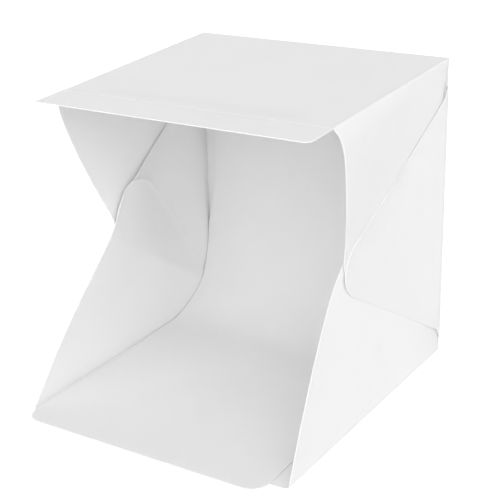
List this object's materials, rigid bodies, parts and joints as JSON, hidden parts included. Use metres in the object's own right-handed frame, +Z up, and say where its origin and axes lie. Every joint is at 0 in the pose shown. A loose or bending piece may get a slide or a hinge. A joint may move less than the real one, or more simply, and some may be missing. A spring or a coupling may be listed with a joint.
{
  "type": "light tent cube",
  "caption": "Folding tabletop light tent of hinged white plastic sheet, with pinched side flaps, a sweep backdrop and a light strip under its top.",
  "frame": {"origin": "centre of the base sheet's underside", "axes": "+Z up from the surface it stands on, the opening faces -Y, +X to the right seen from the opening"},
  "size_m": [0.242, 0.2629, 0.2436],
  "materials": {
    "white_sheet": "fine matt polypropylene sheet",
    "flap_sheet": "fine matt polypropylene sheet",
    "backdrop_sheet": "matt white backdrop sheet",
    "magnet_nickel": "nickel plate",
    "catch_steel": "plain steel",
    "hook_pad": "woven hooks",
    "loop_pad": "soft loops",
    "foam_tape": "foam tape",
    "light_board": "white lacquered board",
    "led": "phosphor and white housing",
    "resistor": "black chip",
    "socket_shell": "drawn steel",
    "socket_tongue": "black moulding"
  },
  "bodies": {
    "base": {"base_panel": "white_sheet", "backdrop_sheet": "backdrop_sheet"},
    "back": {"back_panel": "white_sheet", "hook_pad_left": "hook_pad", "hook_pad_right": "hook_pad", "loop_pad_left": "loop_pad", "loop_pad_right": "loop_pad"},
    "top": {"top_panel": "white_sheet", "light_tape": "foam_tape", "light_board": "light_board", "light_led_01": "led", "light_led_02": "led", "light_led_03": "led", "light_led_04": "led", "light_led_05": "led", "light_led_06": "led", "light_led_07": "led", "light_led_08": "led", "light_led_09": "led", "light_led_10": "led", "light_led_11": "led", "light_led_12": "led", "light_led_13": "led", "light_led_14": "led", "light_led_15": "led", "light_led_16": "led", "light_led_17": "led", "light_led_18": "led", "light_led_19": "led", "light_led_20": "led", "light_resistor_01": "resistor", "light_resistor_02": "resistor", "light_resistor_03": "resistor", "light_resistor_04": "resistor", "light_resistor_05": "resistor", "light_resistor_06": "resistor", "light_resistor_07": "resistor", "light_resistor_08": "resistor", "light_resistor_09": "resistor", "light_resistor_10": "resistor", "socket_shell": "socket_shell", "socket_tongue": "socket_tongue"},
    "lip": {"front_lip": "white_sheet"},
    "base_flap_left": {"base_flap_left": "flap_sheet", "base_flap_left_magnet": "magnet_nickel"},
    "base_flap_right": {"base_flap_right": "flap_sheet", "base_flap_right_magnet": "magnet_nickel"},
    "back_flap_left": {"back_flap_left": "flap_sheet", "back_flap_left_catch": "catch_steel"},
    "back_flap_right": {"back_flap_right": "flap_sheet", "back_flap_right_magnet": "magnet_nickel"},
    "top_flap_left": {"top_flap_left": "flap_sheet", "top_flap_left_magnet": "magnet_nickel"},
    "top_flap_right": {"top_flap_right": "flap_sheet", "top_flap_right_catch": "catch_steel"}
  },
  "joints": [
    {"name": "back_fold", "type": "hinge", "parent": "base", "child": "back", "pos_m": [0, 0.1221, 0.0004], "axis": [1, 0, 0], "range_deg": [-90, 0]},
    {"name": "top_fold", "type": "hinge", "parent": "back", "child": "top", "pos_m": [0, 0.1255, 0.24328], "axis": [1, 0, 0], "range_deg": [-90, 0]},
    {"name": "lip_fold", "type": "hinge", "parent": "top", "child": "lip", "pos_m": [0, -0.05778, 0.23438], "axis": [1, 0, 0], "range_deg": [0, 60]},
    {"name": "back_flap_right_fold", "type": "hinge", "parent": "back", "child": "back_flap_right", "pos_m": [0.1131, 0.1221, 0.0004], "axis": [0, 0.014, 0.9999], "range_deg": [0, 150]},
    {"name": "top_flap_right_fold", "type": "hinge", "parent": "top", "child": "top_flap_right", "pos_m": [0.1131, 0.1255, 0.24328], "axis": [0, -0.9989, -0.0463], "range_deg": [0, 90]},
    {"name": "base_flap_right_fold", "type": "hinge", "parent": "base", "child": "base_flap_right", "pos_m": [0.1131, 0.1221, 0.0004], "axis": [0, 1, 0], "range_deg": [0, 57]},
    {"name": "top_flap_left_fold", "type": "hinge", "parent": "top", "child": "top_flap_left", "pos_m": [-0.1131, 0.1255, 0.24328], "axis": [0, 0.9989, 0.0463], "range_deg": [0, 150]},
    {"name": "back_flap_left_fold", "type": "hinge", "parent": "back", "child": "back_flap_left", "pos_m": [-0.1131, 0.1221, 0.0004], "axis": [0, -0.014, -0.9999], "range_deg": [0, 93]},
    {"name": "base_flap_left_fold", "type": "hinge", "parent": "base", "child": "base_flap_left", "pos_m": [-0.1131, 0.1221, 0.0004], "axis": [0, -1, 0], "range_deg": [0, 54]}
  ],
  "couplings": [
    {"joint": "top_flap_right_fold", "follows": "back_flap_right_fold", "ratio": 0.6},
    {"joint": "base_flap_right_fold", "follows": "back_flap_right_fold", "ratio": 0.38},
    {"joint": "back_flap_left_fold", "follows": "top_flap_left_fold", "ratio": 0.62},
    {"joint": "base_flap_left_fold", "follows": "top_flap_left_fold", "ratio": 0.36}
  ]
}
